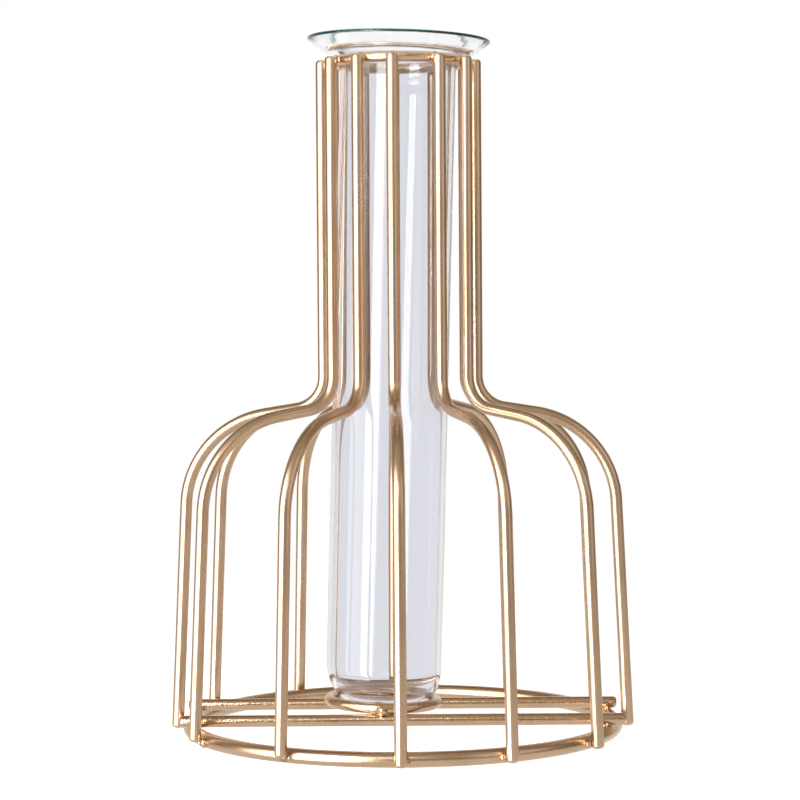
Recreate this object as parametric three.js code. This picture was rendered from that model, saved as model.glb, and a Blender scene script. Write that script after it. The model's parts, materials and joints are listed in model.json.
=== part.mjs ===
// Hydroponic vase: a glass tube with a flared lip, hanging in a cage of welded wire.
// Millimetres, +Z up. The origin is on the table under the middle of the base ring,
// and the front of the vase faces -Y.
import * as THREE from 'three';

const { degToRad } = THREE.MathUtils;

// Wire diameters
const baseRingWire = 3.8;
const ribWire = 3.1;
const barWire = 3;
const topRingWire = 2.7;
const seatRingWire = 2.8;

// Clearances
const weldGap = 0.3; // between a rib and the rings that it is welded to
const stackGap = 0.1; // between wires that lie one on the other
const lipGap = 0.3; // between the lip and the top ring that it hangs on
const neckClearance = 0.35; // round the tube where it passes through the top ring
const footClearance = 0.7; // between the foot of the tube, were it not skew, and the seat ring
const ribClearance = 0.3; // between the leaning tube and the ribs at the bottom of the neck

// Glass tube
const tubeDiameter = 29.8;
const tubeWall = 1.1; // the same down the side and round the foot
const footFlat = 2.85; // radius of the flat under the rounded foot
const footSkew = degToRad(3); // the foot hangs lower on the right
const neckFillet = 1.2; // radius where the tube turns out into the lip
const lipShelf = 4.5; // width of the lip's flat underside, which sits on the top ring
const lipOverhang = 8.75; // how far the rim stands out past the tube
const lipSlope = degToRad(33); // rise of the lip outside its shelf
const lipBend = 4; // radius between shelf and slope
const lipWall = 1.6; // glass in the lip, and the round of the rim

// Cage
const baseRingRadius = 55; // to the middle of the wire, as for every ring
const topRingHeight = 173; // middle of the wire above the table
const shoulderHeight = 85; // where the line of the neck meets that of the shoulder
const shoulderDrop = 5.7; // fall of the shoulder from there to the top of the leg
const legSpread = 3.65; // how far the leg leans out from the shoulder to the base ring
const neckBend = 8.3;
const shoulderBend = 24.7;
const bendShare = 0.95; // most of the shoulder's length that the two bends may take
const ribEndInset = 0.6; // rib ends stop this far short of the rings' outer faces
const barEndInset = 0.4; // bar ends stop this far short of the base ring's width
const seatRingInset = 1.1; // the seat ring is this much smaller in radius than the tube
const leanBearing = -53; // degrees from the front towards the right, where the tube's foot leans to

// Each rib's weld is a little off its even place round the rings, by degrees at neck and foot, and
// its foot may end a little high on the base ring, by a rise in mm. The ribs count from the one at
// the front towards the right.
const ribDrift = [
  { neck: -4.5, foot: -0.5, rise: 0 },
  { neck: 1.5, foot: -3.5, rise: 0 },
  { neck: 0, foot: -5, rise: 0 },
  { neck: 0, foot: 2, rise: 0 },
  { neck: 0, foot: -2.5, rise: 0 },
  { neck: 0, foot: -0.5, rise: 0 },
  { neck: 3.5, foot: 2, rise: 0 },
  { neck: 0, foot: -0.5, rise: 0 },
  { neck: 0, foot: 0.5, rise: 0 },
  { neck: 0, foot: -2.5, rise: 0 },
  { neck: 0, foot: -2, rise: 1.3 },
  { neck: -1.5, foot: 0, rise: 1.3 },
];

// Fineness of the facets
const wireSides = 12;
const baseRingSegments = 48;
const smallRingSegments = 36;
const tubeSegments = 40;
const tubeArcDivisions = 3;
const neckBendSteps = 6;
const shoulderBendSteps = 9;

// Sizes that follow from the ones above
const tubeRadius = tubeDiameter / 2;
const boreRadius = tubeRadius - tubeWall;
const footBend = tubeRadius - footFlat;
const boreBend = footBend - tubeWall;
const topRingRadius = tubeRadius + neckClearance + topRingWire / 2;
const seatRingRadius = tubeRadius - seatRingInset;
const neckRadius = topRingRadius + topRingWire / 2 + weldGap + ribWire / 2;
const footRadius = baseRingRadius + baseRingWire / 2 + weldGap + ribWire / 2;
const baseRingHeight = baseRingWire / 2;
const barHeight = baseRingWire + stackGap + barWire / 2;
const seatRingHeight = barHeight + barWire / 2 + stackGap + seatRingWire / 2;
const barLength = 2 * (baseRingRadius + baseRingWire / 2 - barEndInset);

// A point on a circle round the axis, at a bearing in degrees from the front towards the right.
function around(radius, bearing) {
  const angle = degToRad(bearing);
  return new THREE.Vector3(radius * Math.sin(angle), -radius * Math.cos(angle), 0);
}

// The seat ring is welded off the axis, as far as the neck leaves the tube room to lean.
// The tube's axis runs from the middle of the seat ring to the middle of the top ring.
const leanRoom = neckRadius - ribWire / 2 - tubeRadius - ribClearance;
const leanHeight = topRingHeight - shoulderHeight - neckBend;
const seatShift = (leanRoom * (topRingHeight - seatRingHeight)) / leanHeight;
const topCentre = new THREE.Vector3(0, 0, topRingHeight);
const seatCentre = around(seatShift, leanBearing).setZ(seatRingHeight);
const tubeAxis = topCentre.clone().sub(seatCentre).normalize();
const sideLean = Math.atan2(tubeAxis.x, tubeAxis.z);
const backLean = Math.atan2(tubeAxis.y, tubeAxis.z);

const goldWire = () => new THREE.MeshStandardMaterial({ color: '#c8a26c', roughness: 0.34, metalness: 1 });
const clearGlass = () => new THREE.MeshStandardMaterial({
  color: '#eceef6',
  roughness: 0.04,
  metalness: 0,
  transparent: true,
  opacity: 0.35,
});

// Round wire section as a polygon whose flats are a wire diameter apart, one of them at the bottom.
function wireSection(diameter) {
  const cornerRadius = diameter / 2 / Math.cos(Math.PI / wireSides);
  return Array.from({ length: wireSides }, (_, side) => {
    const angle = ((2 * side - 1) * Math.PI) / wireSides - Math.PI / 2;
    return new THREE.Vector2(cornerRadius * Math.cos(angle), cornerRadius * Math.sin(angle));
  });
}

// Revolves a profile of radius and height about +Z, starting at the front.
function revolve(profile, segments) {
  const geometry = new THREE.LatheGeometry(profile, segments);
  return geometry.rotateX(Math.PI / 2);
}

function wireRing(radius, wire, segments) {
  const profile = wireSection(wire).map((corner) => new THREE.Vector2(radius + corner.x, corner.y));
  profile.push(profile[0].clone());
  return revolve(profile, segments);
}

// A wire's path as stations, each a point and a direction. Straights need only their ends.
class BentWire extends THREE.Curve {
  constructor(stations) {
    super();
    this.stations = stations;
  }

  station(along) {
    return this.stations[Math.round(along * (this.stations.length - 1))];
  }

  getPointAt(along) {
    return this.station(along).point.clone();
  }

  getTangentAt(along) {
    return this.station(along).direction.clone();
  }
}

function sweepWire(stations, wire) {
  return new THREE.ExtrudeGeometry(new THREE.Shape(wireSection(wire)), {
    steps: stations.length - 1,
    extrudePath: new BentWire(stations),
    bevelEnabled: false,
  });
}

// Length that an arc of this radius takes from each side of the corner that it rounds.
const tangentLength = (before, after, radius) => radius * Math.tan(before.angleTo(after) / 2);

// Stations along the arc that rounds a corner between two directions.
function roundCorner(corner, before, after, radius, steps) {
  const turn = before.angleTo(after);
  const axis = before.clone().cross(after).normalize();
  const start = corner.clone().addScaledVector(before, -tangentLength(before, after, radius));
  const spoke = before.clone().cross(axis).multiplyScalar(radius);
  const centre = start.clone().sub(spoke);
  return Array.from({ length: steps + 1 }, (_, step) => {
    const angle = (turn * step) / steps;
    return {
      point: spoke.clone().applyAxisAngle(axis, angle).add(centre),
      direction: before.clone().applyAxisAngle(axis, angle),
    };
  });
}

// One rib in its own plane: down the neck at x = 0, out along the shoulder, and down the leg
// to the base ring at x = reach, where the rise lifts its end.
function ribStations(reach, rise) {
  const top = new THREE.Vector3(0, 0, topRingHeight + topRingWire / 2 - ribEndInset);
  const neckCorner = new THREE.Vector3(0, 0, shoulderHeight);
  const legCorner = new THREE.Vector3(reach - legSpread, 0, shoulderHeight - shoulderDrop);
  const weld = new THREE.Vector3(reach, 0, baseRingHeight);
  const down = new THREE.Vector3(0, 0, -1);
  const shoulder = legCorner.clone().sub(neckCorner);
  const outward = shoulder.clone().normalize();
  const leg = weld.clone().sub(legCorner).normalize();
  const foot = weld.clone().addScaledVector(leg, (weld.z - ribEndInset - rise) / -leg.z);

  const bendLength = tangentLength(down, outward, neckBend) + tangentLength(outward, leg, shoulderBend);
  const fit = Math.min(1, (bendShare * shoulder.length()) / bendLength);
  return [
    { point: top, direction: down },
    ...roundCorner(neckCorner, down, outward, neckBend * fit, neckBendSteps),
    ...roundCorner(legCorner, outward, leg, shoulderBend * fit, shoulderBendSteps),
    { point: foot, direction: leg },
  ];
}

function makeRib(index) {
  const evenAngle = (360 / ribDrift.length) * index;
  const drift = ribDrift[index];
  const neck = around(neckRadius, evenAngle + drift.neck);
  const foot = around(footRadius, evenAngle + drift.foot);
  const run = foot.clone().sub(neck);
  const rib = new THREE.Mesh(sweepWire(ribStations(run.length(), drift.rise), ribWire), goldWire());
  rib.name = `rib_${String(index + 1).padStart(2, '0')}`;
  rib.position.copy(neck);
  rib.rotation.z = Math.atan2(run.y, run.x);
  return rib;
}

function makeRing(name, centre, radius, wire, segments) {
  const ring = new THREE.Mesh(wireRing(radius, wire, segments), goldWire());
  ring.name = name;
  ring.position.copy(centre);
  return ring;
}

// The bars pass under the front and the back of the seat ring.
function makeCrossbar(name, side) {
  const ends = [-barLength / 2, barLength / 2];
  const stations = ends.map((x) => ({
    point: new THREE.Vector3(x, 0, 0),
    direction: new THREE.Vector3(1, 0, 0),
  }));
  const bar = new THREE.Mesh(sweepWire(stations, barWire), goldWire());
  bar.name = name;
  bar.position.set(0, seatCentre.y + side * seatRingRadius, barHeight);
  return bar;
}

// The tube's section as radius and height, with the top ring's middle at height 0: up the outside
// from the foot, round the rim, and down the bore.
function tubeProfile() {
  const quarter = Math.PI / 2;
  const seatDepth = topCentre.distanceTo(seatCentre);
  const footReach = footBend + seatRingWire / 2 + footClearance;
  const footBendHeight = Math.sqrt(footReach ** 2 - (seatRingRadius - footFlat) ** 2) - seatDepth;

  // The top ring stands highest against the leaning lip on one side, and the shelf clears it there.
  const shelfHeight = topRingRadius * Math.sin(sideLean) + topRingWire / 2 + lipGap;
  const dishHeight = shelfHeight + lipWall;
  const shelfRadius = tubeRadius + lipShelf;
  const bendRadius = shelfRadius - lipBend * Math.tan(lipSlope / 2);
  const bendHeight = shelfHeight + lipBend;
  const mouthFillet = neckFillet + tubeWall;

  // The rim's round is centred in the thickness of the slope.
  const rimRadius = tubeRadius + lipOverhang - lipWall / 2;
  const slopeLength = (rimRadius - shelfRadius + (lipWall / 2) * Math.sin(lipSlope)) / Math.cos(lipSlope);
  const rimHeight = shelfHeight + slopeLength * Math.sin(lipSlope) + (lipWall / 2) * Math.cos(lipSlope);

  const profile = new THREE.Path();
  profile.absarc(footFlat, footBendHeight, footBend, -quarter, 0, false);
  profile.absarc(tubeRadius + neckFillet, shelfHeight - neckFillet, neckFillet, Math.PI, quarter, true);
  profile.absarc(bendRadius, bendHeight, lipBend, -quarter, lipSlope - quarter, false);
  profile.absarc(rimRadius, rimHeight, lipWall / 2, lipSlope - quarter, lipSlope + quarter, false);
  profile.absarc(bendRadius, bendHeight, lipBend - lipWall, lipSlope - quarter, -quarter, true);
  profile.absarc(boreRadius + mouthFillet, dishHeight - mouthFillet, mouthFillet, quarter, Math.PI, false);
  profile.absarc(footFlat, footBendHeight, boreBend, 0, -quarter, true);
  return [
    new THREE.Vector2(0, footBendHeight - footBend),
    ...profile.getPoints(tubeArcDivisions),
    new THREE.Vector2(0, footBendHeight - boreBend),
  ];
}

// The lip leans sideways with the tube but is level from front to back, and the foot is skew from
// side to side: the corners at each end of the straight wall move along the tube's axis.
function skewEnds(geometry) {
  const corners = geometry.getAttribute('position');
  for (let index = 0; index < corners.count; index += 1) {
    const height = corners.getZ(index);
    const lipRise = corners.getY(index) * Math.tan(backLean);
    const footDrop = corners.getX(index) * Math.tan(footSkew);
    corners.setZ(index, height + (height > -topRingHeight / 2 ? lipRise : -footDrop));
  }
  return geometry;
}

function makeTube() {
  const tube = new THREE.Mesh(skewEnds(revolve(tubeProfile(), tubeSegments)), clearGlass());
  tube.name = 'glass_tube';
  tube.position.copy(topCentre);
  tube.quaternion.setFromUnitVectors(new THREE.Vector3(0, 0, 1), tubeAxis);
  return tube;
}

function makeCage() {
  const cage = new THREE.Group();
  const baseCentre = new THREE.Vector3(0, 0, baseRingHeight);
  const seatRing = makeRing('seat_ring', seatCentre, seatRingRadius, seatRingWire, smallRingSegments);
  seatRing.rotation.y = sideLean;
  cage.add(
    makeRing('base_ring', baseCentre, baseRingRadius, baseRingWire, baseRingSegments),
    makeRing('top_ring', topCentre, topRingRadius, topRingWire, smallRingSegments),
    makeCrossbar('crossbar_front', -1),
    makeCrossbar('crossbar_rear', 1),
    seatRing,
    ...ribDrift.map((_, index) => makeRib(index)),
  );
  return cage;
}

const vase = new THREE.Group();
vase.add(makeCage(), makeTube());

export default vase;
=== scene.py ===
"""Looks of the hydroponic vase: round wires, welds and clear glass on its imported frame, in a studio."""

import json

import bpy
import numpy as np
from bpy.props import FloatProperty, FloatVectorProperty, PointerProperty
from mathutils import Euler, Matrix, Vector


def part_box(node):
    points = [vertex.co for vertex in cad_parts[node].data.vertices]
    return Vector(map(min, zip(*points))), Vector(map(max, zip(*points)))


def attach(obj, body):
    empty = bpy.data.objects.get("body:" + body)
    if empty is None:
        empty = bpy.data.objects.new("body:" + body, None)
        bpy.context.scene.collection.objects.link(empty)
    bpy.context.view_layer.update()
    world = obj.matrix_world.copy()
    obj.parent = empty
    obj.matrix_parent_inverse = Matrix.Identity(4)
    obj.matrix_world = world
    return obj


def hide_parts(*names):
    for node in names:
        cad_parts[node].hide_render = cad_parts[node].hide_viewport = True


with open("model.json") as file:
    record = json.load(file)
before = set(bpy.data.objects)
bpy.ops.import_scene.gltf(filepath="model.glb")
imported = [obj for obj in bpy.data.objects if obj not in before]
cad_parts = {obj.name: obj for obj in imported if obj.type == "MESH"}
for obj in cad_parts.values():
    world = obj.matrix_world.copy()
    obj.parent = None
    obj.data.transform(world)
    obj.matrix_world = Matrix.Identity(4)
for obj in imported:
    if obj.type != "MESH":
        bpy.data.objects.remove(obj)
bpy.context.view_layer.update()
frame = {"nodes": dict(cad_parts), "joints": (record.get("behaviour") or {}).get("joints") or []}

bl_info = {
    "name": "Hydroponic vase",
    "version": (1, 0, 0),
    "blender": (4, 5, 0),
    "location": "View3D > Sidebar > Vase",
    "description": "Glass tube hanging in a cage of welded gold wire, built on its packed frame",
    "category": "Add Mesh",
}

RIBS = sorted(name for name in frame["nodes"] if name.startswith("rib_"))
BARS = sorted(name for name in frame["nodes"] if name.startswith("crossbar_"))

RIGHT = np.array((1.0, 0.0, 0.0))
BACK = np.array((0.0, 1.0, 0.0))
UP = np.array((0.0, 0.0, 1.0))
LEVEL = RIGHT + BACK  # times a vector, its level part
UPRIGHT = RIGHT + UP  # times a vector, its part in the plane across the front

WIRE_END = 0.0003  # metres of a packed wire that count as its end

# Steps of the surfaces
WIRE_SIDES = 40  # round a wire
END_STEPS = 6  # over the round of a cut end
BEND_STEPS = 28  # along a bend of a rib
RING_STEPS = 256  # round a ring
TUBE_STEPS = 224  # round the tube
ARC_STEPS = 18  # along an arc of the tube's section
WELD_STEPS = 32  # round a weld
WELD_LEVELS = 11  # up a weld

# Joints of the rings: bearing in radians, and swelling as a share of the wire
RING_JOINTS = {"base_ring": (0.0, 0.0), "top_ring": (1.9, 0.05), "seat_ring": (4.62, 0.17)}
JOINT_TIGHTNESS = 1.9  # the larger, the shorter the swelling

# Weld beads
BEAD_SUNK = 0.00006  # metres that a bead's edges lie inside the wires
BEAD_REACH = 0.92  # share of a wire's radius past which the edges fall no further
BEAD_WAIST = 0.3  # share by which the waist is drawn in
BEAD_LUMPS = (0.09, 0.06)  # heights of the slow and the quick lumps
RIB_BEAD_TURN = 1.7  # radians that the lumps turn from one rib's bead to the next
BAR_BEAD_TURN = 2.3  # the same from one bar to the next
SEAT_BEAD_START = 0.9  # radians that the lumps of the first bar's bead are turned
SEAT_BEAD_SHAPE = (2.2, 0.85)  # of the weld spread, along the bar and across it

# Weld drops
DROP_LUMPS = (0.1, 0.08)  # heights of the waves round the drop and over it
FOOT_DROP_FORWARD = 0.46  # of the rib's wire, from the bead
FOOT_DROP_INWARD = 0.05  # of the rib's wire
FOOT_DROP_FALL = 0.08  # of the rib's wire
FOOT_DROP_SHAPE = np.array((0.8, 0.8, 1.0))  # of the drop's half height
FOOT_DROP_CHANGE = 0.2  # share by which the drops differ in size
FOOT_DROP_CHANGE_TURN = 2.1  # radians of that wave from one rib to the next
FOOT_DROP_TURN = 1.3  # radians that the lumps turn from one drop to the next
SEAT_DROP_SHAPE = np.array((1.15, 1.15, 1.1))  # of the drop's half height
SEAT_DROP_FALL = 1 / 3  # of the drop's half height, below the ring's middle
SEAT_DROP_START = 0.7  # radians that its lumps are turned

# Plating
GRAIN_SCALE = 3400.0
GRAIN_DULLING = 2400.0  # roughness for each metre of grain depth
CLOUD_SCALE = 90.0
CLOUD_DETAIL = 4.0
CLOUD_ROUGHNESS = 0.55
CLOUD_EDGES = (0.35, 0.7)
CLOUD_DULLING = 0.05

# Glass
GLASS_INDEX = 1.5
TUBE_SHINE = 0.7  # share of a full reflection
LIP_SHINE = 1.0
RIM_CLEARNESS = 0.5  # share of clear glass in the dark green painted on the rim
WAVE_STRETCH = (1.0, 1.0, 0.12)
WAVE_SCALE = 160.0
WAVE_DEPTH = 0.0004
WAVE_STRENGTH = 0.06
# Painted edge shade: a dark green painted round the top of the rim stands in for the dark line that clear
# glass shows where it is seen edge-on. It is not a colour of the glass itself.
GREEN_DEPTH = 0.00035  # metres below the top of the rim
GREEN_FADE = 0.0002  # metres over which the green comes in, and by which its edge wanders
GREEN_SHARE = 0.8
GREEN_WANDER_SCALE = 60.0
LIP_FADE = (-0.0045, -0.0035)  # metres from the green, between which the tube's tint turns to the lip's

# Floor and lamps
WHITE = (1.0, 1.0, 1.0, 1.0)
FLOOR_HALF = 4.0
FLOOR_FADE = (0.12, 0.5)  # metres from the vase, between which the floor turns plain white
FLOOR_GLOW = 0.755
LAMP_COLOUR = (0.95, 1.0, 1.08)
LAMPS = {  # width and height, place, and whether it shows through glass
    "key": ((0.78, 0.95), (-0.47, -0.373, 0.12), False),
    "strip": ((0.25, 0.75), (-0.32, -0.44, 0.08), True),
    "fill": ((0.55, 0.55), (0.49, -0.343, 0.3), False),
    "front": ((0.3, 0.12), (-0.06, -0.49, 0.36), True),
}

# Room that the wire mirrors: each edge is a smooth step, from and to, in one part of a direction
PALE = (0.85, 0.85, 0.85, 1.0)
FLOOR_EDGE = (-0.13, 0.33)  # down
BACKDROP_EDGE = (0.6, 1.0)  # ahead
WALL_FOOT = (0.05, 0.22)  # up
WALL_TOP = (0.8, 0.95)  # up
WALL_NEAR = (0.2, 0.6)  # towards the camera
WALL_RIGHT = (0.12, 0.5)  # right
WALL_FAR_SHARE = 0.4
CEILING_FOOT = (0.6, 0.85)  # up
CEILING_REAR = (-0.05, 0.25)  # ahead
CEILING_SHARE = 0.8

# Camera
CAMERA_LENS = 112.22  # millimetres
CAMERA_SENSOR = 36.0  # millimetres
CAMERA_PLACE = (0.0, -0.64615, 0.1067)
CAMERA_TIP = 1.842  # degrees down
CAMERA_TURN = 0.0126  # degrees to the left
CAMERA_ROLL = -0.396  # degrees


# Frame


def unit(vectors):
    """The same directions with length one."""
    return vectors / np.linalg.norm(vectors, axis=-1, keepdims=True)


TUBE_AXIS = np.array(frame["joints"][0]["axis"], float)
LIP_AXIS = unit(TUBE_AXIS * UPRIGHT)  # without the lean to the back; the seat ring's axis too


def box(node):
    """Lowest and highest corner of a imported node, as arrays."""
    low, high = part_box(node)
    return np.array(low), np.array(high)


def wire_ends(node):
    """Middles of a packed wire's highest and lowest ends: the means of the corners that lie there."""
    mesh = frame["nodes"][node].data
    corners = np.empty(len(mesh.vertices) * 3, np.float32)
    mesh.vertices.foreach_get("co", corners)
    corners = corners.reshape(-1, 3).astype(float)
    height = corners[:, 2]
    top = corners[height > height.max() - WIRE_END].mean(axis=0)
    foot = corners[height < height.min() + WIRE_END].mean(axis=0)
    return top, foot


def level_ring(node):
    """Middle, radius and wire of a ring that lies level, from its box."""
    low, high = box(node)
    wire = high[2] - low[2]
    return (low + high) / 2, (high[0] - low[0] - wire) / 2, wire


# Sizes and colours


def length(name, description, default):
    """A length in metres for the sidebar."""
    return FloatProperty(
        name=name, description=description, default=default, min=0.0, unit="LENGTH", precision=5
    )


def angle(name, description, degrees):
    """An angle for the sidebar."""
    return FloatProperty(name=name, description=description, default=np.radians(degrees), subtype="ANGLE")


def share(name, description, default):
    """A share from nothing to the whole for the sidebar."""
    return FloatProperty(
        name=name, description=description, default=default, min=0.0, max=1.0, subtype="FACTOR"
    )


def power(name, description, default):
    """A light's power in watts for the sidebar."""
    return FloatProperty(name=name, description=description, default=default, min=0.0, unit="POWER")


def colour(name, description, default):
    """A linear colour for the sidebar."""
    return FloatVectorProperty(
        name=name, description=description, default=default, size=3, min=0.0, max=1.0, subtype="COLOR"
    )


class CageSizes(bpy.types.PropertyGroup):
    """Sizes of the wire cage"""

    rib_wire: length("Rib wire", "Diameter of the ribs", 0.0031)
    seat_wire: length("Seat ring wire", "Diameter of the seat ring's wire", 0.0028)
    shoulder_height: length("Shoulder height", "Where the neck's line meets the shoulder's", 0.085)
    shoulder_drop: length("Shoulder drop", "Fall of the shoulder to the top of the leg", 0.0057)
    leg_lean: FloatProperty(
        name="Leg lean",
        description="How far a leg leans out for each metre that it falls",
        default=0.04716,
    )
    neck_bend: length("Neck bend", "Radius between neck and shoulder", 0.0083)
    shoulder_bend: length("Shoulder bend", "Radius between shoulder and leg", 0.0247)
    end_round: length("End round", "Radius of the edge at a cut end of wire", 0.0009)
    weld_spread: length("Weld spread", "How far a weld runs out from the middle of a joint", 0.00125)
    nugget: length("Nugget", "Half the height of a drop of weld metal", 0.00105)


class TubeSizes(bpy.types.PropertyGroup):
    """Sizes of the glass tube"""

    diameter: length("Diameter", "Outside of the tube", 0.0298)
    wall: length("Wall", "Glass down the side and round the foot", 0.0011)
    foot_flat: length("Foot flat", "Radius of the flat under the foot", 0.00285)
    foot_depth: length("Foot depth", "Underside of the foot below the top ring's middle", 0.16781)
    foot_skew: angle("Foot skew", "The foot hangs lower on the right", 3)
    neck_fillet: length("Neck fillet", "Radius where the tube turns out into the lip", 0.0012)
    lip_shelf: length("Lip shelf", "Width of the lip's flat underside", 0.0045)
    lip_height: length("Lip height", "Flat underside of the lip above the top ring's middle", 0.002151)
    lip_overhang: length("Lip overhang", "How far the rim stands out past the tube", 0.00875)
    lip_slope: angle("Lip slope", "Rise of the lip outside its shelf", 37.9)
    lip_bend: length("Lip bend", "Radius between shelf and slope", 0.004)
    lip_wall: length("Lip wall", "Glass in the lip", 0.0009)


class Finishes(bpy.types.PropertyGroup):
    """Colours and grain of the plating and the glass"""

    gold: colour("Gold", "Champagne gold of the wire", (0.65, 0.456, 0.296))
    gold_deep: colour("Deep gold", "Darker tone in the plating's clouds", (0.586, 0.401, 0.248))
    drawn: length("Drawn grain", "Depth of the grain on the ribs", 0.000006)
    drawn_dull: share("Drawn dullness", "Lowest roughness of the ribs", 0.25)
    rolled: length("Rolled grain", "Depth of the grain on the rings and welds", 0.00002)
    rolled_dull: share("Rolled dullness", "Lowest roughness of the rings and welds", 0.21)
    sanded: length("Sanded grain", "Depth of the grain on the bars", 0.00004)
    sanded_dull: share("Sanded dullness", "Lowest roughness of the bars", 0.08)
    glass: colour("Glass", "Tint of the tube's clear glass", (0.85, 0.855, 0.888))
    lip: colour("Lip", "Tint of the lip's clear glass", (0.98, 0.98, 0.99))
    # painted shade: the dark green of the rim's top, standing in for the glass seen edge-on
    painted_rim_shade: colour("Glass edge", "Green of the melted rim", (0.06, 0.24, 0.21))


class StudioSettings(bpy.types.PropertyGroup):
    """Colours and lights of the studio"""

    floor: colour("Floor", "Pale floor", (0.7, 0.7, 0.71))
    room: colour("Room", "Dim warm room that the wire mirrors", (0.15, 0.107, 0.065))
    wall: colour("Wall", "Paler walls of the room, and the near half of its ceiling", (0.55, 0.52, 0.46))
    key: power("Key light", "Power of the large soft light at the left", 5.8)
    strip: power("Strip light", "Power of the narrow light in front of it", 3.6)
    fill: power("Fill light", "Power of the dim light at the right", 0.42)
    front: power("Front light", "Power of the small light over the camera", 0.22)


# Meshes


def grid_faces(rows, columns, closed):
    """Quads of a grid whose columns close on themselves, and whose rows do too where it is closed."""
    row = np.arange(rows if closed else rows - 1)[:, None]
    column = np.arange(columns)[None, :]
    below = (row + 1) % rows
    beside = (column + 1) % columns
    corners = np.broadcast_arrays(
        row * columns + column,
        row * columns + beside,
        below * columns + beside,
        below * columns + column,
    )
    return np.stack(corners, axis=-1).reshape(-1, 4)


def cap_faces(rows, columns):
    """Triangles that close a grid's first and last row on two poles, the points after the grid's own."""
    column = np.arange(columns)
    beside = (column + 1) % columns
    first = np.full(columns, rows * columns)
    last_row = (rows - 1) * columns
    start = np.stack((beside, column, first), axis=-1)
    end = np.stack((last_row + column, last_row + beside, first + 1), axis=-1)
    return np.concatenate((start, end))


def closed_grid(points):
    """Points and faces of a surface that closes both ways, such as a ring."""
    rows, columns, _ = points.shape
    return points.reshape(-1, 3), grid_faces(rows, columns, True).tolist()


def capped_grid(points, poles):
    """Points and faces of a surface that ends in a pole at each end, such as a wire."""
    rows, columns, _ = points.shape
    faces = grid_faces(rows, columns, False).tolist() + cap_faces(rows, columns).tolist()
    return np.concatenate((points.reshape(-1, 3), poles)), faces


def join_shapes(shapes):
    """Several shapes' points and faces as one."""
    points, faces, count = [], [], 0
    for shape_points, shape_faces in shapes:
        points.append(shape_points)
        faces += [[count + corner for corner in face] for face in shape_faces]
        count += len(shape_points)
    return np.concatenate(points), faces


def add_piece(name, shape, material, body, node=None):
    """A smooth object of these points and faces that rides a body, and stands for a node if named."""
    points, faces = shape
    mesh = bpy.data.meshes.new(name)
    mesh.from_pydata(points, [], faces)
    if mesh.validate():
        raise RuntimeError(f"{name}: the surface has faulty faces")
    mesh.shade_smooth()
    mesh.materials.append(material)
    piece = bpy.data.objects.new(name, mesh)
    bpy.context.scene.collection.objects.link(piece)
    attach(piece, body)
    if node:
        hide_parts(node)


def round_wire(path, along, side, wire, end_round):
    """A wire with rounded ends: a circle carried along the path, square to it, with one axis to the side.

    At each end the circle shrinks by a quarter round while it moves to the end's plane.
    """
    quarter = np.linspace(0, np.pi / 2, END_STEPS)
    setback = end_round * (1 - np.sin(quarter))
    shrink = end_round * (1 - np.cos(quarter))
    start = path[0] + setback[::-1, None] * along[0]
    end = path[-1] - setback[:, None] * along[-1]
    centres = np.concatenate((start, path[1:-1], end))
    radius = np.full(len(centres), wire / 2)
    radius[:END_STEPS] -= shrink[::-1]
    radius[-END_STEPS:] -= shrink
    directions = np.concatenate(
        (np.repeat(along[:1], END_STEPS, axis=0), along[1:-1], np.repeat(along[-1:], END_STEPS, axis=0))
    )
    sides = np.broadcast_to(side, directions.shape)
    other = np.cross(directions, sides)
    turn = np.linspace(0, 2 * np.pi, WIRE_SIDES, endpoint=False)[None, :, None]
    circle = np.cos(turn) * sides[:, None] + np.sin(turn) * other[:, None]
    points = centres[:, None] + radius[:, None, None] * circle
    return capped_grid(points, np.stack((path[0], path[-1])))


def ring_of_wire(centre, radius, wire, axis, joint_bearing, joint_bulge):
    """A ring: a circle carried round a circle, swollen by a bell curve where the wire's ends meet."""
    around = np.linspace(0, 2 * np.pi, RING_STEPS, endpoint=False)
    across = unit(np.cross(BACK, axis))
    ahead = np.cross(axis, across)
    spoke = np.cos(around)[:, None] * across + np.sin(around)[:, None] * ahead
    from_joint = (around - joint_bearing + np.pi) % (2 * np.pi) - np.pi
    bell = np.exp(-((from_joint * radius / wire * JOINT_TIGHTNESS) ** 2))
    half = wire / 2 * (1 + joint_bulge * bell)
    turn = np.linspace(0, 2 * np.pi, WIRE_SIDES, endpoint=False)[None, :, None]
    circle = np.cos(turn) * spoke[:, None] + np.sin(turn) * axis
    points = centre + radius * spoke[:, None] + half[:, None, None] * circle
    return closed_grid(points[::-1])


def bend(corner, before, after, radius):
    """Points and directions of the arc that rounds a corner between two directions."""
    whole_turn = np.arccos(before @ after)
    inward = unit(after - (after @ before) * before)
    start = corner - radius * np.tan(whole_turn / 2) * before
    turn = np.linspace(0, whole_turn, BEND_STEPS)[:, None]
    points = start + radius * (np.sin(turn) * before + (1 - np.cos(turn)) * inward)
    return points, np.cos(turn) * before + np.sin(turn) * inward


def rib_path(top, foot, sizes):
    """A rib's line: down the neck, an arc out to the shoulder, an arc down to the leg, and the leg."""
    outward = unit((foot - top) * LEVEL)
    neck = np.array((top[0], top[1], sizes.shoulder_height))
    knee_height = sizes.shoulder_height - sizes.shoulder_drop
    knee = foot - outward * sizes.leg_lean * (knee_height - foot[2])
    knee[2] = knee_height
    shoulder = unit(knee - neck)
    leg = unit(foot - knee)
    first, first_along = bend(neck, -UP, shoulder, sizes.neck_bend)
    second, second_along = bend(knee, shoulder, leg, sizes.shoulder_bend)
    path = np.concatenate((top[None], first, second, foot[None]))
    along = np.concatenate((-UP[None], first_along, second_along, leg[None]))
    return path, along, np.cross(outward, UP)


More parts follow.
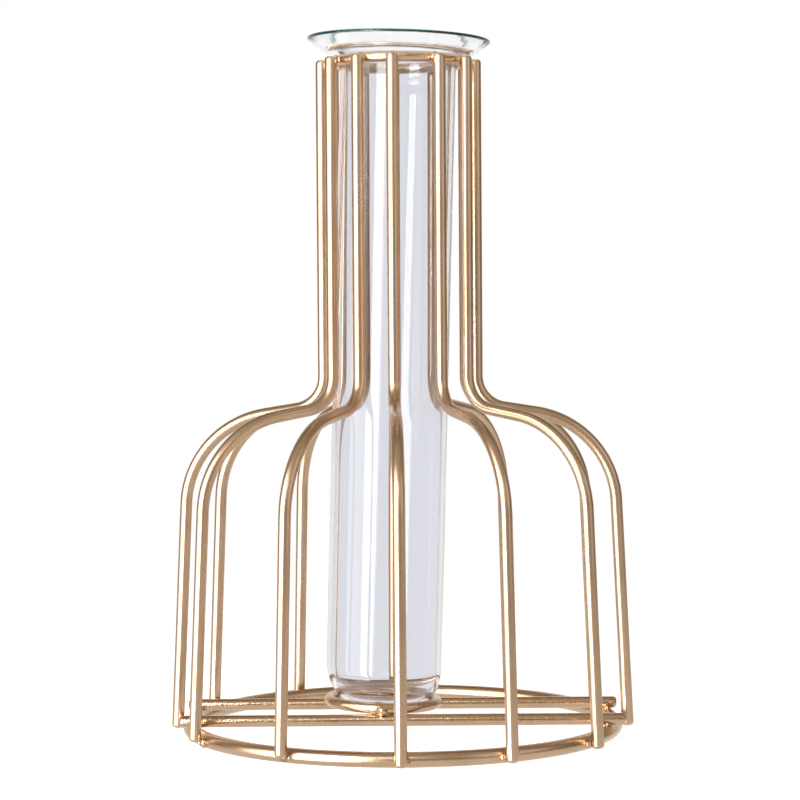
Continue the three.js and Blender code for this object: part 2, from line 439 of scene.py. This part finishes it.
def weld_bead(middle, normal, lower_along, upper_along, lower_wire, upper_wire, gap, spread, lumps):
    """A weld between two wires: a waisted collar round the normal at the middle of their gap.

    Its edges lie on the two cylinders, whose faces fall away from the middle by r - sqrt(r^2 - d^2), a
    hair inside them, and its waist is drawn in by a half sine. Lumps swell and shrink it round the collar.
    """
    first = unit(lower_along - (lower_along @ normal) * normal)
    second = np.cross(normal, first)
    turn = np.linspace(0, 2 * np.pi, WELD_STEPS, endpoint=False)
    slow, quick = BEAD_LUMPS
    swell = 1 + slow * np.sin(3 * turn + lumps) + quick * np.sin(5 * turn - 2 * lumps)
    along, across = spread
    reach = swell / np.hypot(np.cos(turn) / along, np.sin(turn) / across)
    flat = reach[:, None] * (np.cos(turn)[:, None] * first + np.sin(turn)[:, None] * second)

    def fall(direction, wire):
        radius = wire / 2
        off = np.linalg.norm(flat - (flat @ direction)[:, None] * direction, axis=1)
        return radius - np.sqrt(radius**2 - np.minimum(off, BEAD_REACH * radius) ** 2)

    low = -gap / 2 - fall(unit(lower_along), lower_wire) - BEAD_SUNK
    high = gap / 2 + fall(unit(upper_along - (upper_along @ normal) * normal), upper_wire) + BEAD_SUNK
    level = np.linspace(0, 1, WELD_LEVELS)[:, None]
    width = 1 - BEAD_WAIST * np.sin(np.pi * level)
    height = low + (high - low) * level
    points = middle + width[:, :, None] * flat + height[:, :, None] * normal
    poles = middle + np.array((low.min(), high.max()))[:, None] * normal
    return capped_grid(points[:, ::-1], poles)


def weld_drop(middle, size, lumps):
    """A drop of weld metal: an ellipsoid that swells and shrinks by slow waves over turn and tilt."""
    tilt = np.linspace(np.pi, 0, WELD_LEVELS + 2)[1:-1, None]
    turn = np.linspace(0, 2 * np.pi, WELD_STEPS, endpoint=False)[None]
    around, over = DROP_LUMPS
    waves = around * np.sin(3 * turn + lumps) * np.sin(tilt)
    waves = waves + over * np.sin(2 * turn - lumps) * np.sin(2 * tilt)
    ball = (np.sin(tilt) * np.cos(turn), np.sin(tilt) * np.sin(turn), np.cos(tilt))
    ball = np.stack(np.broadcast_arrays(*ball), axis=-1)
    points = middle + (1 + waves[..., None]) * ball * size
    return capped_grid(points, middle + np.stack((-UP, UP)) * size)


def rib_welds(ring, end, sizes):
    """A bead between a ring and each rib, at the height of the ring's middle, and a drop by each foot.

    The drop lies on the base ring, on the side of the rib that is nearer the front.
    """
    welds = []
    middle, radius, wire = level_ring(ring)
    rib = sizes.rib_wire
    spread = (sizes.weld_spread, sizes.weld_spread)
    for index, node in enumerate(RIBS):
        path, along, _ = rib_path(*wire_ends(node), sizes)
        direction = along[end]
        weld = path[end] + direction * (middle[2] - path[end][2]) / direction[2]
        normal = unit((weld - middle) * LEVEL)
        gap = np.linalg.norm(weld - middle) - radius - wire / 2 - rib / 2
        contact = middle + normal * (radius + wire / 2 + gap / 2)
        tangent = np.cross(UP, normal)
        lumps = RIB_BEAD_TURN * index
        welds.append(weld_bead(contact, normal, tangent, direction, wire, rib, gap, spread, lumps))
        if ring == "base_ring":
            forward = -tangent if tangent[1] > 0 else tangent
            offset = FOOT_DROP_FORWARD * forward - FOOT_DROP_INWARD * normal - FOOT_DROP_FALL * UP
            change = 1 + FOOT_DROP_CHANGE * np.sin(FOOT_DROP_CHANGE_TURN * index)
            size = sizes.nugget * FOOT_DROP_SHAPE * change
            welds.append(weld_drop(contact + rib * offset, size, FOOT_DROP_TURN * index))
    return welds


def bar_welds(sizes):
    """A bead under each end of each bar, where it crosses the middle line of the base ring."""
    welds = []
    ring_middle, ring_radius, ring_wire = level_ring("base_ring")
    spread = (sizes.weld_spread, sizes.weld_spread)
    for index, node in enumerate(BARS):
        low, high = box(node)
        back = (low[1] + high[1]) / 2
        wire = high[2] - low[2]
        gap = low[2] - ring_middle[2] - ring_wire / 2
        for side in (-1, 1):
            contact = np.array((side * np.sqrt(ring_radius**2 - back**2), back, low[2] - gap / 2))
            tangent = unit(np.cross(UP, contact * LEVEL))
            lumps = BAR_BEAD_TURN * index + side
            welds.append(weld_bead(contact, UP, tangent, RIGHT, ring_wire, wire, gap, spread, lumps))
    return welds


def seat_welds(sizes):
    """A long bead between the seat ring and each bar, and a drop at the front of the ring."""
    welds = []
    seat_low, seat_high = box("seat_ring")
    seat = (seat_low + seat_high) / 2
    along, across = SEAT_BEAD_SHAPE
    spread = (along * sizes.weld_spread, across * sizes.weld_spread)
    for index, node in enumerate(BARS):
        low, high = box(node)
        wire = high[2] - low[2]
        gap = seat[2] - sizes.seat_wire / 2 - high[2]
        contact = np.array((seat[0], (low[1] + high[1]) / 2, high[2] + gap / 2))
        lumps = SEAT_BEAD_START + index
        welds.append(weld_bead(contact, UP, RIGHT, RIGHT, wire, sizes.seat_wire, gap, spread, lumps))
    front = seat - (0.0, (seat_high[1] - seat_low[1]) / 2, sizes.nugget * SEAT_DROP_FALL)
    welds.append(weld_drop(front, sizes.nugget * SEAT_DROP_SHAPE, SEAT_DROP_START))
    return welds


def arc(middle, radius, start, end):
    """Points of an arc in the tube's section, in radius and height."""
    turn = np.linspace(start, end, ARC_STEPS)
    return np.stack((middle[0] + radius * np.cos(turn), middle[1] + radius * np.sin(turn)), axis=-1)


def tube_section(sizes):
    """The tube's section from the axis out under the foot, up the outside, round the rim, down the bore."""
    right = np.pi / 2
    outside = sizes.diameter / 2
    inside = outside - sizes.wall
    foot_bend = outside - sizes.foot_flat
    slope = sizes.lip_slope
    half_wall = sizes.lip_wall / 2
    shelf = outside + sizes.lip_shelf
    bend_middle = (shelf - sizes.lip_bend * np.tan(slope / 2), sizes.lip_height + sizes.lip_bend)
    rim = outside + sizes.lip_overhang - half_wall
    run = (rim - shelf + half_wall * np.sin(slope)) / np.cos(slope)
    rim_middle = (rim, sizes.lip_height + run * np.sin(slope) + half_wall * np.cos(slope))
    fillet = sizes.neck_fillet
    mouth = fillet + sizes.wall
    mouth_height = sizes.lip_height + sizes.lip_wall - mouth
    foot_middle = (sizes.foot_flat, foot_bend - sizes.foot_depth)
    return np.concatenate(
        (
            arc(foot_middle, foot_bend, -right, 0),
            arc((outside + fillet, sizes.lip_height - fillet), fillet, 2 * right, right),
            arc(bend_middle, sizes.lip_bend, -right, slope - right),
            arc(rim_middle, half_wall, slope - right, slope + right),
            arc(bend_middle, sizes.lip_bend - sizes.lip_wall, slope - right, -right),
            arc((inside + mouth, mouth_height), mouth, right, 2 * right),
            arc(foot_middle, foot_bend - sizes.wall, 0, -right),
        )
    )


def tube_surface(sizes, top_middle):
    """The tube: its section turned about its axis and leant to the frame's axis.

    The upper half moves along the axis so that the lip is level from front to back, and the lower half so
    that the foot is skew.
    """
    section = tube_section(sizes)
    around = np.linspace(0, 2 * np.pi, TUBE_STEPS, endpoint=False)
    points = np.empty((len(section), TUBE_STEPS, 3))
    points[..., 0] = section[:, :1] * np.cos(around)
    points[..., 1] = section[:, :1] * np.sin(around)
    points[..., 2] = section[:, 1:]
    upper = points[..., 2] > -sizes.foot_depth / 2
    lip_rise = points[..., 1] * TUBE_AXIS[1] / TUBE_AXIS[2]
    foot_drop = points[..., 0] * np.tan(sizes.foot_skew)
    points[..., 2] += np.where(upper, lip_rise, -foot_drop)
    poles = np.zeros((2, 3))
    poles[:, 2] = section[0, 1], section[-1, 1]
    lean = np.array(Vector(UP).rotation_difference(Vector(TUBE_AXIS)).to_matrix())
    return capped_grid(top_middle + points @ lean.T, top_middle + poles @ lean.T)


# Materials


class Value:
    """A shader socket on which Python's operators work: each one adds a Math node."""

    def __init__(self, tree, socket):
        self.tree = tree
        self.socket = socket

    def __add__(self, other):
        return self.tree.math("ADD", self, other)

    def __sub__(self, other):
        return self.tree.math("SUBTRACT", self, other)

    def __rsub__(self, other):
        return self.tree.math("SUBTRACT", other, self)

    def __mul__(self, other):
        return self.tree.math("MULTIPLY", self, other)

    __radd__ = __add__
    __rmul__ = __mul__


class Tree:
    """Node tree of a material or a world, emptied and built up in code."""

    def __init__(self, owner):
        owner.use_nodes = True
        self.nodes = owner.node_tree.nodes
        self.links = owner.node_tree.links
        self.nodes.clear()

    def node(self, kind, settings=(), sockets=(), output=0):
        """Adds a node: its settings first, then the values or links of its sockets. Gives one output."""
        made = self.nodes.new("ShaderNode" + kind)
        for name, value in dict(settings).items():
            setattr(made, name, value)
        for name, value in dict(sockets).items():
            if isinstance(value, Value):
                self.links.new(value.socket, made.inputs[name])
            else:
                made.inputs[name].default_value = value
        return Value(self, made.outputs[output]) if len(made.outputs) else None

    def math(self, operation, first, second):
        """A Math node on two numbers or sockets."""
        return self.node("Math", {"operation": operation}, {0: first, 1: second})

    def smooth(self, value, low, high):
        """0 below low, 1 above high, and a smooth step between."""
        settings = {"interpolation_type": "SMOOTHSTEP"}
        return self.node("MapRange", settings, {"Value": value, "From Min": low, "From Max": high})

    def blend(self, weight, first, second):
        """A colour between two colours."""
        return self.node("Mix", {"data_type": "RGBA"}, {0: weight, 6: first, 7: second}, 2)


def opaque(rgb):
    """A colour with full alpha."""
    return (*rgb, 1.0)


def gold_finish(finishes, grain_name):
    """Satin plating: a fine grain in normal and roughness, and slow clouds in colour and roughness."""
    name = "gold_" + grain_name
    material = bpy.data.materials.get(name)
    if material:
        return material
    material = bpy.data.materials.new(name)
    tree = Tree(material)
    place = tree.node("TexCoord", output="Object")
    grain = tree.node("TexNoise", {}, {"Vector": place, "Scale": GRAIN_SCALE, "Detail": 0.0})
    clouds = tree.node(
        "TexNoise",
        {},
        {"Vector": place, "Scale": CLOUD_SCALE, "Detail": CLOUD_DETAIL, "Roughness": CLOUD_ROUGHNESS},
    )
    cloudy = tree.smooth(clouds, *CLOUD_EDGES)
    tone = tree.blend(cloudy, opaque(finishes.gold), opaque(finishes.gold_deep))
    depth = getattr(finishes, grain_name)
    dullness = getattr(finishes, grain_name + "_dull")
    roughness = dullness + GRAIN_DULLING * depth * grain + CLOUD_DULLING * clouds
    bump = tree.node("Bump", {}, {"Strength": 1.0, "Distance": depth, "Height": grain})
    shader = tree.node(
        "BsdfPrincipled",
        {},
        {"Base Color": tone, "Metallic": 1.0, "Roughness": roughness, "Normal": bump},
    )
    tree.node("OutputMaterial", {}, {"Surface": shader})
    return material


def glass_finish(finishes, green_start, axis):
    """Clear drawn glass with faint waves along the tube, a paler lip, and painted shade on the rim: a dark,
    half clear green round its top that stands in for the dark line clear glass shows edge-on.
    """
    material = bpy.data.materials.new("clear_glass")
    tree = Tree(material)
    place = tree.node("TexCoord", output="Object")
    drawn = tree.node("Mapping", {}, {"Vector": place, "Scale": WAVE_STRETCH})
    waves = tree.node("TexNoise", {}, {"Vector": drawn, "Scale": WAVE_SCALE, "Detail": 1.0})
    bump = tree.node("Bump", {}, {"Strength": WAVE_STRENGTH, "Distance": WAVE_DEPTH, "Height": waves})

    def glass(tint, shine, clearness):
        return tree.node(
            "BsdfPrincipled",
            {},
            {
                "Base Color": opaque(tint),
                "Roughness": 0.0,
                "IOR": GLASS_INDEX,
                "Specular Tint": (shine, shine, shine, 1.0),
                "Transmission Weight": clearness,
                "Normal": bump,
            },
        )

    from_green = tree.node("VectorMath", {"operation": "SUBTRACT"}, {0: place, 1: green_start})
    height = tree.node("VectorMath", {"operation": "DOT_PRODUCT"}, {0: from_green, 1: axis}, 1)
    wander = tree.node("TexNoise", {}, {"Vector": place, "Scale": GREEN_WANDER_SCALE, "Detail": 1.0})
    green = tree.smooth(height + GREEN_FADE * wander, 0.0, GREEN_FADE) * GREEN_SHARE
    in_lip = tree.smooth(height, *LIP_FADE)
    tube = glass(finishes.glass, TUBE_SHINE, 1.0)
    lip = glass(finishes.lip, LIP_SHINE, 1.0)
    # painted shade: the rim's top gets this dark, half clear green in place of the glass seen edge-on
    rim = glass(finishes.painted_rim_shade, LIP_SHINE, RIM_CLEARNESS)
    upper = tree.node("MixShader", {}, {0: green, 1: lip, 2: rim})
    whole = tree.node("MixShader", {}, {0: in_lip, 1: tube, 2: upper})
    tree.node("OutputMaterial", {}, {"Surface": whole})
    return material


# Operators


class BuildRibs(bpy.types.Operator):
    """Round ribs in the place of the cage's twelve faceted ones"""

    bl_idname = "vase.build_ribs"
    bl_label = "Ribs"

    def execute(self, context):
        scene = context.scene
        sizes = scene.vase_cage
        gold = gold_finish(scene.vase_finishes, "drawn")
        for node in RIBS:
            path, along, side = rib_path(*wire_ends(node), sizes)
            shape = round_wire(path, along, side, sizes.rib_wire, sizes.end_round)
            add_piece(node + "_wire", shape, gold, "frame", node)
        return {"FINISHED"}


class BuildRings(bpy.types.Operator):
    """Round base ring, top ring and seat ring, the last two with the joint of their wire"""

    bl_idname = "vase.build_rings"
    bl_label = "Rings"

    def execute(self, context):
        scene = context.scene
        gold = gold_finish(scene.vase_finishes, "rolled")
        for node in ("base_ring", "top_ring"):
            shape = ring_of_wire(*level_ring(node), UP, *RING_JOINTS[node])
            add_piece(node + "_wire", shape, gold, "frame", node)
        low, high = box("seat_ring")
        wire = scene.vase_cage.seat_wire
        radius = (high[1] - low[1] - wire) / 2
        shape = ring_of_wire((low + high) / 2, radius, wire, LIP_AXIS, *RING_JOINTS["seat_ring"])
        add_piece("seat_ring_wire", shape, gold, "frame", "seat_ring")
        return {"FINISHED"}


class BuildBars(bpy.types.Operator):
    """Round bars that lie across the base ring"""

    bl_idname = "vase.build_bars"
    bl_label = "Crossbars"

    def execute(self, context):
        scene = context.scene
        gold = gold_finish(scene.vase_finishes, "sanded")
        for node in BARS:
            low, high = box(node)
            middle = (low + high) / 2
            path = np.stack((middle, middle, middle))
            path[0, 0], path[-1, 0] = low[0], high[0]
            along = np.tile(RIGHT, (len(path), 1))
            shape = round_wire(path, along, UP, high[2] - low[2], scene.vase_cage.end_round)
            add_piece(node + "_wire", shape, gold, "frame", node)
        return {"FINISHED"}


class BuildWelds(bpy.types.Operator):
    """Weld beads that close the gaps between ribs, rings and bars, and drops of weld metal"""

    bl_idname = "vase.build_welds"
    bl_label = "Welds"

    def execute(self, context):
        scene = context.scene
        sizes = scene.vase_cage
        gold = gold_finish(scene.vase_finishes, "rolled")
        groups = {
            "top_ring_welds": rib_welds("top_ring", 0, sizes),
            "base_ring_welds": rib_welds("base_ring", -1, sizes),
            "bar_welds": bar_welds(sizes),
            "seat_welds": seat_welds(sizes),
        }
        for name, welds in groups.items():
            add_piece(name, join_shapes(welds), gold, "frame")
        return {"FINISHED"}


class BuildTube(bpy.types.Operator):
    """Clear glass tube with its flared lip and round foot"""

    bl_idname = "vase.build_tube"
    bl_label = "Glass tube"

    def execute(self, context):
        scene = context.scene
        sizes = scene.vase_tube
        top = level_ring("top_ring")[0]
        rim_height = tube_section(sizes)[:, 1].max()
        green_start = top + (rim_height - GREEN_DEPTH) * LIP_AXIS
        glass = glass_finish(scene.vase_finishes, green_start, LIP_AXIS)
        add_piece("glass_tube_clear", tube_surface(sizes, top), glass, "tube", "glass_tube")
        return {"FINISHED"}


class BuildStudio(bpy.types.Operator):
    """White floor and surroundings, soft lights, and the camera"""

    bl_idname = "vase.build_studio"
    bl_label = "Studio"

    def execute(self, context):
        scene = context.scene
        settings = scene.vase_studio
        self.add_floor(scene, settings)
        self.add_surroundings(scene, settings)
        for name, (size, place, through_glass) in LAMPS.items():
            self.add_light(scene, name + "_light", getattr(settings, name), size, place, through_glass)
        self.add_camera(scene)
        scene.view_settings.view_transform = "Standard"
        return {"FINISHED"}

    def add_floor(self, scene, settings):
        """A level square, pale and matt by the vase and plain white further out."""
        half = FLOOR_HALF
        corners = ((-half, -half, 0.0), (half, -half, 0.0), (half, half, 0.0), (-half, half, 0.0))
        mesh = bpy.data.meshes.new("floor")
        mesh.from_pydata(corners, [], [(0, 1, 2, 3)])
        material = bpy.data.materials.new("pale_floor")
        tree = Tree(material)
        place = tree.node("TexCoord", output="Object")
        distance = tree.node("VectorMath", {"operation": "LENGTH"}, {0: place}, 1)
        camera = tree.node("LightPath", output="Is Camera Ray")
        glossy = tree.node("LightPath", output="Is Glossy Ray")
        through = tree.node("LightPath", output="Is Transmission Ray")
        seen = tree.math("MAXIMUM", camera, tree.math("MAXIMUM", glossy, through))
        plain = tree.math("MAXIMUM", through, seen * tree.smooth(distance, *FLOOR_FADE))
        matt = tree.node("BsdfDiffuse", {}, {"Color": opaque(settings.floor)})
        glow = tree.node("Emission", {}, {"Color": WHITE, "Strength": seen * FLOOR_GLOW})
        near = tree.node("AddShader", {}, {0: matt, 1: glow})
        white = tree.node("Emission", {}, {"Color": WHITE, "Strength": 1.0})
        whole = tree.node("MixShader", {}, {0: plain, 1: near, 2: white})
        tree.node("OutputMaterial", {}, {"Surface": whole})
        mesh.materials.append(material)
        floor = bpy.data.objects.new("floor", mesh)
        scene.collection.objects.link(floor)
        floor.visible_glossy = False

    def add_surroundings(self, scene, settings):
        """Plain white to the camera and through glass; the wire mirrors a dim room with a white backdrop.

        The room turns pale downwards. Its walls are paler than the rest, most of all behind the camera and
        to the left of it, and so is the ceiling on the camera's side.
        """
        world = bpy.data.worlds.new("studio")
        scene.world = world
        tree = Tree(world)
        direction = tree.node("TexCoord", output="Generated")
        side = tree.node("SeparateXYZ", {}, {0: direction}, "X")
        ahead = tree.node("SeparateXYZ", {}, {0: direction}, "Y")
        height = tree.node("SeparateXYZ", {}, {0: direction}, "Z")
        through = tree.node("LightPath", output="Is Transmission Ray")
        seen = tree.node("LightPath", output="Is Camera Ray")
        down = tree.smooth(-1.0 * height, *FLOOR_EDGE)
        backdrop = tree.smooth(ahead, *BACKDROP_EDGE)
        band = tree.smooth(height, *WALL_FOOT) * (1.0 - tree.smooth(height, *WALL_TOP))
        near = tree.smooth(-1.0 * ahead, *WALL_NEAR) * (1.0 - tree.smooth(side, *WALL_RIGHT))
        over = tree.smooth(height, *CEILING_FOOT) * (1.0 - tree.smooth(ahead, *CEILING_REAR))
        walls = band * (WALL_FAR_SHARE + (1.0 - WALL_FAR_SHARE) * near)
        paler = tree.math("MAXIMUM", walls, CEILING_SHARE * over)
        upper = tree.blend(paler, opaque(settings.room), opaque(settings.wall))
        room = tree.blend(down, upper, PALE)
        plain = tree.math("MAXIMUM", backdrop, tree.math("MAXIMUM", seen, through))
        level = tree.blend(plain, room, WHITE)
        shader = tree.node("Background", {}, {"Color": level, "Strength": 1.0})
        tree.node("OutputWorld", {}, {"Surface": shader})

    def add_light(self, scene, name, watts, size, place, through_glass):
        """An upright soft light turned to the vase, hidden from the camera and, where asked, from glass."""
        light = bpy.data.lights.new(name, "AREA")
        light.shape = "ELLIPSE"
        light.size, light.size_y = size
        light.energy = watts
        light.color = LAMP_COLOUR
        lamp = bpy.data.objects.new(name, light)
        lamp.location = place
        inward = Vector((-place[0], -place[1], 0.0))
        lamp.rotation_euler = inward.to_track_quat("-Z", "Y").to_euler()
        lamp.visible_camera = False
        lamp.visible_transmission = through_glass
        scene.collection.objects.link(lamp)

    def add_camera(self, scene):
        """A long lens a little above the middle of the vase, tipped slightly down and to one side."""
        camera = bpy.data.cameras.new("camera")
        camera.lens = CAMERA_LENS
        camera.sensor_width = CAMERA_SENSOR
        viewer = bpy.data.objects.new("camera", camera)
        viewer.location = CAMERA_PLACE
        roll = Euler((0.0, 0.0, np.radians(CAMERA_ROLL))).to_matrix()
        tip = Euler((np.radians(90 - CAMERA_TIP), 0.0, np.radians(CAMERA_TURN))).to_matrix()
        viewer.rotation_euler = (tip @ roll).to_euler()
        scene.collection.objects.link(viewer)
        scene.camera = viewer


class VasePanel(bpy.types.Panel):
    """Lists the pieces of the vase and their sizes"""

    bl_idname = "VIEW3D_PT_vase"
    bl_label = "Hydroponic vase"
    bl_space_type = "VIEW_3D"
    bl_region_type = "UI"
    bl_category = "Vase"

    def draw(self, context):
        for group in GROUPS:
            settings = getattr(context.scene, group)
            for name in settings.__annotations__:
                self.layout.prop(settings, name)
        for operator in OPERATORS:
            self.layout.operator(operator.bl_idname)


GROUPS = {
    "vase_cage": CageSizes,
    "vase_tube": TubeSizes,
    "vase_finishes": Finishes,
    "vase_studio": StudioSettings,
}
OPERATORS = (BuildRibs, BuildRings, BuildBars, BuildWelds, BuildTube, BuildStudio)
CLASSES = (*GROUPS.values(), *OPERATORS, VasePanel)


def register():
    """Makes the classes known to Blender, and gives each scene its settings."""
    for made in CLASSES:
        bpy.utils.register_class(made)
    for name, group in GROUPS.items():
        setattr(bpy.types.Scene, name, PointerProperty(type=group))


def unregister():
    """Takes back what register did."""
    for name in GROUPS:
        delattr(bpy.types.Scene, name)
    for made in reversed(CLASSES):
        bpy.utils.unregister_class(made)


def main():
    """Builds the vase and its studio."""
    register()
    bpy.ops.vase.build_ribs()
    bpy.ops.vase.build_rings()
    bpy.ops.vase.build_bars()
    bpy.ops.vase.build_welds()
    bpy.ops.vase.build_tube()
    bpy.ops.vase.build_studio()


if __name__ == "__main__":
    main()
